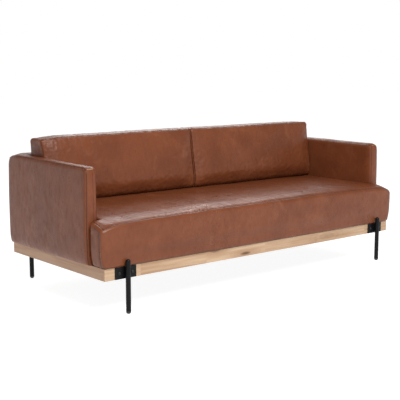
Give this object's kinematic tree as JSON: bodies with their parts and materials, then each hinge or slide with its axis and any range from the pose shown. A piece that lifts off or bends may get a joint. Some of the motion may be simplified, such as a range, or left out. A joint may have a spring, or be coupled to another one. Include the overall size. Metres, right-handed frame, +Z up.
{
  "type": "three-seat sofa",
  "caption": "Long leather sofa with a T-shaped tight seat, thin wrap-around arms and back, loose back cushions, and a wooden plinth on round metal rod legs.",
  "frame": {"origin": "on the floor, under the middle of the sofa", "axes": "+Z up, +X along the length of the sofa, the seat's front faces -Y"},
  "size_m": [2.156, 0.969, 0.821],
  "materials": {
    "oak": "satin",
    "frame_timber": "matte",
    "hardboard": "matte",
    "black_steel": "matte",
    "black_bolts": "satin",
    "black_nylon": "matte",
    "zinc_steel": "satin",
    "spring_steel": "satin",
    "felt": "matte",
    "foam": "matte",
    "webbing": "matte",
    "dust_fabric": "matte",
    "seat_leather": "satin",
    "shell_leather": "satin",
    "cushion_leather": "satin",
    "zip_tape": "matte",
    "zip_metal": "satin"
  },
  "bodies": {
    "sofa_body": {"base_front_rail": "oak", "base_rear_rail": "oak", "base_left_rail": "oak", "base_right_rail": "oak", "base_cross_rail_left": "frame_timber", "base_cross_rail_centre": "frame_timber", "base_cross_rail_right": "frame_timber", "base_corner_blocks": "frame_timber", "dust_cover": "dust_fabric", "leg_rod_front_left": "black_steel", "leg_plate_front_left": "black_steel", "leg_glide_front_left": "black_nylon", "leg_rod_front_right": "black_steel", "leg_plate_front_right": "black_steel", "leg_glide_front_right": "black_nylon", "leg_rod_rear_left": "black_steel", "leg_plate_rear_left": "black_steel", "leg_glide_rear_left": "black_nylon", "leg_rod_rear_right": "black_steel", "leg_plate_rear_right": "black_steel", "leg_glide_rear_right": "black_nylon", "leg_bolts": "black_bolts", "leg_tee_nuts": "zinc_steel", "body_bolts": "zinc_steel", "seat_front_rail": "frame_timber", "seat_rear_rail": "frame_timber", "seat_left_rail": "frame_timber", "seat_right_rail": "frame_timber", "seat_centre_brace": "frame_timber", "seat_springs": "spring_steel", "seat_spring_clips": "zinc_steel", "seat_spring_pad": "felt", "seat_front_foam": "foam", "seat_deck_foam": "foam", "seat_cover": "seat_leather", "back_top_rail": "frame_timber", "back_uprights": "frame_timber", "back_webbing": "webbing", "back_foam": "foam", "back_cover": "shell_leather", "left_arm_front_post": "frame_timber", "left_arm_rear_post": "frame_timber", "left_arm_top_rail": "frame_timber", "left_arm_panel": "hardboard", "left_arm_foam": "foam", "left_arm_cover": "shell_leather", "right_arm_front_post": "frame_timber", "right_arm_rear_post": "frame_timber", "right_arm_top_rail": "frame_timber", "right_arm_panel": "hardboard", "right_arm_foam": "foam", "right_arm_cover": "shell_leather"},
    "left_back_cushion": {"left_back_cushion_core": "foam", "left_back_cushion_cover": "cushion_leather", "left_back_cushion_zip_chain": "zip_tape"},
    "left_zip_slider": {"left_back_cushion_zip_slider": "zip_metal"},
    "right_back_cushion": {"right_back_cushion_core": "foam", "right_back_cushion_cover": "cushion_leather", "right_back_cushion_zip_chain": "zip_tape"},
    "right_zip_slider": {"right_back_cushion_zip_slider": "zip_metal"}
  },
  "joints": [
    {"name": "left_cushion_lift", "type": "slide", "parent": "sofa_body", "child": "left_back_cushion", "axis": [0, 0, 1], "range_m": [0, 0.4]},
    {"name": "left_cushion_zip", "type": "slide", "parent": "left_back_cushion", "child": "left_zip_slider", "axis": [-1, 0, 0], "range_m": [0, 0.868]},
    {"name": "right_cushion_lift", "type": "slide", "parent": "sofa_body", "child": "right_back_cushion", "axis": [0, 0, 1], "range_m": [0, 0.4]},
    {"name": "right_cushion_zip", "type": "slide", "parent": "right_back_cushion", "child": "right_zip_slider", "axis": [1, 0, 0], "range_m": [0, 0.868]}
  ]
}
